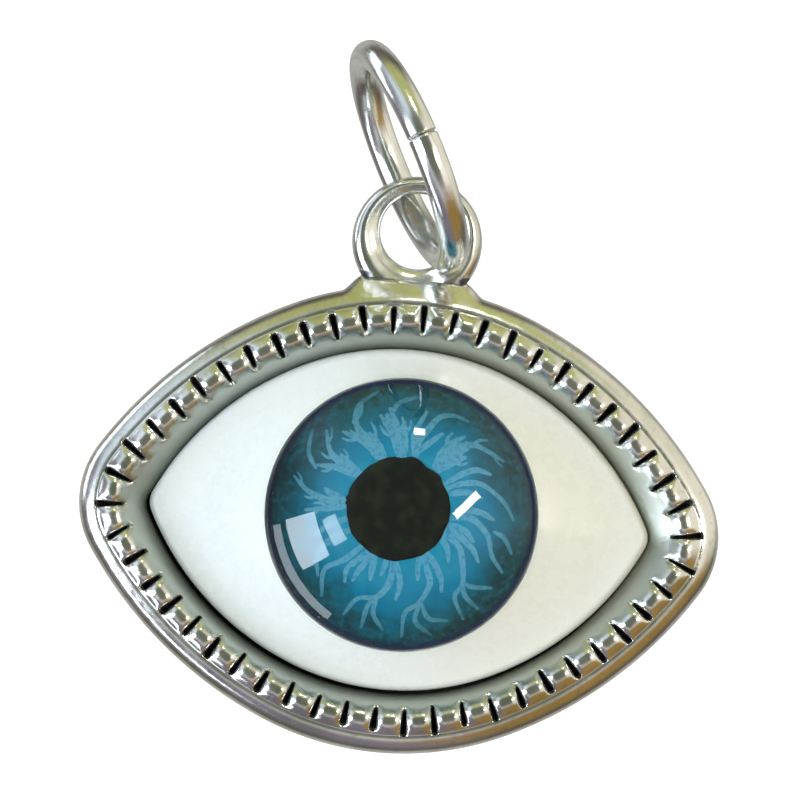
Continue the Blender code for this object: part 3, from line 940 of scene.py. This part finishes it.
def vein_outlines():
    """The print's pale strokes: each strand of the plumes, and side strokes on the broad ones."""
    rng = random.Random(11)
    strokes = []
    for (wide, narrow), *places in PLUMES:
        spots = []
        for angle, seen in places:
            radius = seen * (DOME_PULL + (1 - DOME_PULL) * (seen / IRIS_RADIUS) ** 2)
            around = math.radians(angle)
            spots.append(Vector((radius * math.sin(around), radius * math.cos(around))))
        centre = Vector((PUPIL_CENTRE.x, PUPIL_CENTRE.z))
        path = smooth_path([centre + spot for spot in spots], 8)
        last = len(path) - 1
        widths = []
        for i in range(last + 1):
            along = i / last
            width = max(STRAND_LEAST, 0.88 * (wide + (narrow - wide) * along**0.7))
            width *= (0.60 + 0.40 * smooth(0.0, 0.3, along)) * (1 - 0.35 * smooth(0.75, 1.0, along))
            widths.append(width * rng.uniform(0.88, 1.12))
        strokes.append(stroke(path, widths))
        if wide > BARBED_FROM:
            side = rng.choice((-1, 1))
            strokes.append(barb(path, last // 2, side, widths[last // 2], rng))
            strokes.append(barb(path, last - 5, -side, widths[last - 5], rng))
    return strokes


def barb(path, i, side, width, rng):
    """A short curved side stroke that leaves a strand and leans outwards with it."""
    way = (path[i + 1] - path[i]).normalized()
    across = Vector((-way.y, way.x)) * side
    reach = rng.uniform(*BARB_REACH)
    spots = [
        path[i],
        path[i] + way * reach * 0.45 + across * (width * 0.5 + reach * 0.16),
        path[i] + way * reach * 0.95 + across * (width * 0.5 + reach * 0.22),
    ]
    line = smooth_path(spots, 3)
    thick = min(width * 0.7, 0.17)
    return stroke(line, [thick * (1 - 0.55 * k / (len(line) - 1)) for k in range(len(line))])


def pupil_outline():
    """A round print with a ragged edge, one bump at its upper right and a nick of ink at its left."""
    rng = random.Random(5)
    waves = [(count, rng.uniform(0, 2 * math.pi), 0.045 / count**0.85) for count in (7, 13, 23, 37, 61)]
    details = ((13, 8, 0.050), (32, 7, -0.030), (48, 4, 0.035), (-82, 2.5, 0.045), (-88, 1.5, 0.045))
    points, count = [], 240
    for i in range(count):
        turn = 360 * i / count
        around = math.radians(turn)
        radius = 1 + sum(size * math.sin(n * around + phase) for n, phase, size in waves)
        for place, reach, size in details:
            away = (turn - place + 180) % 360 - 180
            radius += size * math.exp(-((away / reach) ** 2))
        spot = Vector((math.sin(around), math.cos(around))) * PUPIL_RADIUS * radius
        points.append(Vector((PUPIL_CENTRE.x, PUPIL_CENTRE.z)) + spot)
    return points


# ---------------------------------------------------------------- stage, light and camera


def bowl_mesh():
    """Pale floor that curves up into a wall all round."""
    profile = [(radius, BOWL_FLOOR) for radius in (0.05, 0.30, BOWL_FLAT)]
    for step in range(1, 13):
        angle = math.pi / 2 * step / 12
        profile.append(
            (BOWL_FLAT + BOWL_CURVE * math.sin(angle), BOWL_FLOOR + BOWL_CURVE * (1 - math.cos(angle)))
        )
    profile += [(BOWL_FLAT + BOWL_CURVE, 0.6), (BOWL_FLAT + BOWL_CURVE, 1.2)]
    shape = bmesh.new()
    count = 96
    turns = [2 * math.pi * i / count for i in range(count)]
    rings = [
        [shape.verts.new((radius * math.sin(turn), radius * math.cos(turn), z)) for turn in turns]
        for radius, z in profile
    ]
    for first, second in zip(rings, rings[1:]):
        for i, corner in enumerate(first):
            after = (i + 1) % count
            shape.faces.new((corner, first[after], second[after], second[i]))
    shape.faces.new(rings[0])
    bmesh.ops.recalc_face_normals(shape, faces=shape.faces)
    bmesh.ops.reverse_faces(shape, faces=shape.faces)
    mesh = bpy.data.meshes.new("backdrop")
    shape.to_mesh(mesh)
    shape.free()
    mesh.shade_smooth()
    return mesh


def add_stage():
    """Pale paper that only the camera sees, so it neither lights the metal nor shows in it."""
    nodes = Nodes("pale_paper")
    nodes.set(
        Base_Color=(0.6, 0.6, 0.6, 1.0),
        Roughness=0.9,
        Emission_Color=(1.0, 1.0, 1.0, 1.0),
        Emission_Strength=0.85,
    )
    backdrop = bpy.data.objects.new("backdrop", bowl_mesh())
    backdrop.data.materials.append(nodes.material)
    bpy.context.scene.collection.objects.link(backdrop)
    backdrop.visible_diffuse = False
    backdrop.visible_glossy = False
    backdrop.visible_transmission = False
    backdrop.visible_shadow = False


def panel(name, towards, across, distance, width, height, radiance, colour, glossy=True):
    """A soft box seen from the eye in one direction; width and height are in radians as seen from there."""
    data = bpy.data.lights.new(name, "AREA")
    data.shape = "RECTANGLE"
    data.size, data.size_y = width * distance, height * distance
    data.energy = radiance * math.pi * data.size * data.size_y
    data.color = colour
    made = bpy.data.objects.new(name, data)
    bpy.context.scene.collection.objects.link(made)
    back = Vector(towards).normalized()
    side = Vector(across)
    side = (side - back * side.dot(back)).normalized()
    up = back.cross(side)
    turned = Matrix((side, up, back)).transposed().to_4x4()
    made.matrix_world = Matrix.Translation(CENTRE + back * distance) @ turned
    made.visible_camera = False
    made.visible_glossy = glossy
    return made


def add_world():
    """Soft room light: a grey base and broad tinted lobes that the metal picks up."""
    world = bpy.data.worlds.new("soft_room")
    bpy.context.scene.world = world
    world.use_nodes = True
    tree = world.node_tree
    background = tree.nodes["Background"]
    direction = tree.nodes.new("ShaderNodeTexCoord").outputs["Generated"]
    colour = tree.nodes.new("ShaderNodeRGB")
    colour.outputs[0].default_value = (0.34, 0.35, 0.33, 1.0)
    colour = colour.outputs[0]
    lobes = (  # direction, cosines where it starts and is full, colour
        ((-0.9, -0.40, 0.1), 0.50, 0.88, (0.78, 0.88, 1.00)),
        ((0.9, -0.38, 0.1), 0.50, 0.88, (0.92, 0.86, 0.74)),
        ((0.0, -0.40, -0.9), 0.50, 0.88, (0.58, 0.56, 0.56)),
        ((0.0, -0.20, 1.0), 0.66, 0.92, (0.50, 0.51, 0.20)),
        ((-1.0, 0.22, -0.12), 0.58, 0.88, (0.25, 0.235, 0.275)),
        ((0.55, 0.1, -0.80), 0.50, 0.85, (0.34, 0.21, 0.06)),
        ((-0.5, 0.1, -0.80), 0.50, 0.85, (0.20, 0.18, 0.22)),
        ((0.0, 1.0, 0.0), -0.05, 0.50, (0.13, 0.11, 0.095)),
        ((0.0, 1.0, -0.05), 0.55, 0.84, (0.46, 0.45, 0.42)),
        ((0.85, 0.20, 0.45), 0.72, 0.93, (0.85, 0.80, 0.66)),
        ((0.0, -1.0, 0.0), 0.70, 0.90, (0.14, 0.15, 0.11)),
    )
    for towards, start, full, shade in lobes:
        dot = tree.nodes.new("ShaderNodeVectorMath")
        dot.operation = "DOT_PRODUCT"
        tree.links.new(direction, dot.inputs[0])
        dot.inputs[1].default_value = Vector(towards).normalized()
        share = tree.nodes.new("ShaderNodeMapRange")
        share.interpolation_type = "SMOOTHSTEP"
        tree.links.new(dot.outputs["Value"], share.inputs["Value"])
        share.inputs["From Min"].default_value = start
        share.inputs["From Max"].default_value = full
        mix = tree.nodes.new("ShaderNodeMix")
        mix.data_type = "RGBA"
        tree.links.new(share.outputs[0], mix.inputs["Factor"])
        tree.links.new(colour, mix.inputs[6])
        mix.inputs[7].default_value = (*shade, 1.0)
        colour = mix.outputs[2]
    tree.links.new(colour, background.inputs["Color"])
    background.inputs["Strength"].default_value = 1.0


def add_lights():
    """The window and lamps that the dome shows, two strips for the metal and two fills for the white."""
    far, close = 0.45, 0.09
    cool, warm, level = (0.82, 0.91, 1.0), (1.0, 0.93, 0.80), (1.0, 0.0, 0.0)
    panel("window_pane_far", (-0.81, -0.41, -0.29), (0.13, -0.35, 0.09), far, 0.40, 0.47, 12.6, cool)
    panel("window_pane_near", (-0.645, -0.71, -0.205), (0.11, -0.125, 0.08), far, 0.17, 0.30, 9.2, cool)
    panel("side_strip", (-0.80, -0.10, -0.55), (0.53, 0.0, -0.77), far, 0.93, 0.12, 6.0, cool)
    panel("top_lamp", (0.11, -0.58, 0.80), level, far, 0.11, 0.08, 34.0, (1.0, 0.98, 0.94))
    panel("right_lamp", (0.64, -0.74, 0.14), (0.18, 0.17, 0.22), far, 0.36, 0.085, 28.0, warm)
    panel("high_strip", (-0.86, 0.36, 0.38), (0.42, 0.0, 0.88), far, 0.9, 0.40, 1.9, cool)
    panel("fill_left", (-0.50, -0.75, 0.35), level, close, 0.8, 0.8, 0.15, (0.82, 0.95, 1.0), False)
    panel("fill_right", (0.60, -0.70, 0.30), level, close, 0.8, 0.8, 0.08, (1.0, 0.96, 0.84), False)


def add_camera():
    """Square to the eye, with the whole charm rolled a little clockwise in the view."""
    right = Vector((math.cos(CAMERA_ROLL), 0.0, math.sin(CAMERA_ROLL)))
    up = Vector((-math.sin(CAMERA_ROLL), 0.0, math.cos(CAMERA_ROLL)))
    data = bpy.data.cameras.new("camera")
    data.sensor_width = 36.0
    data.lens = data.sensor_width * CAMERA_DISTANCE / CAMERA_FIELD
    data.clip_start, data.clip_end = 0.01, 10.0
    camera = bpy.data.objects.new("camera", data)
    bpy.context.scene.collection.objects.link(camera)
    back = Vector((0.0, -1.0, 0.0))
    place = CENTRE + (CAMERA_AIM + back * CAMERA_DISTANCE) * MM
    camera.matrix_world = Matrix.Translation(place) @ Matrix((right, up, back)).transposed().to_4x4()
    bpy.context.scene.camera = camera


def main():
    bpy.context.scene.view_settings.view_transform = "Standard"
    add_camera()
    add_world()
    add_lights()
    add_stage()

    metal = plated_metal()
    placed("bezel_rim", bezel_mesh(), metal, "pendant", "plated_zinc", "bezel_frame")
    placed("bail_ring_loop", bail_mesh(), metal, "pendant", "plated_zinc", "bail_loop")
    placed("jump_ring_wire", ring_mesh(), wire_metal(), "ring", "ring_steel", "jump_ring")
    placed("sclera_shell", sclera_mesh(), white_acrylic(), "pendant", "white_acrylic", "eye_sclera")
    placed("iris_print", iris_mesh(), printed_iris(), "pendant", "iris_print", "iris_disc")
    veins = flat_solid("iris_veins", vein_outlines(), IRIS_TOP - 0.01, IRIS_TOP + 0.008)
    placed("iris_veins", veins, vein_ink(), "pendant", "vein_ink")
    pupil = flat_solid("iris_pupil", [pupil_outline()], IRIS_TOP - 0.01, IRIS_TOP + 0.02)
    placed("iris_pupil", pupil, pupil_ink(), "pendant", "pupil_ink")
    dome = placed("cornea_glass", dome_mesh(), clear_dome(), "pendant", "clear_dome", "cornea_dome", sharp=60)
    dome.visible_shadow = False
    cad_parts["adhesive_bed"].data.materials.clear()
    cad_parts["adhesive_bed"].data.materials.append(cured_adhesive())


main()
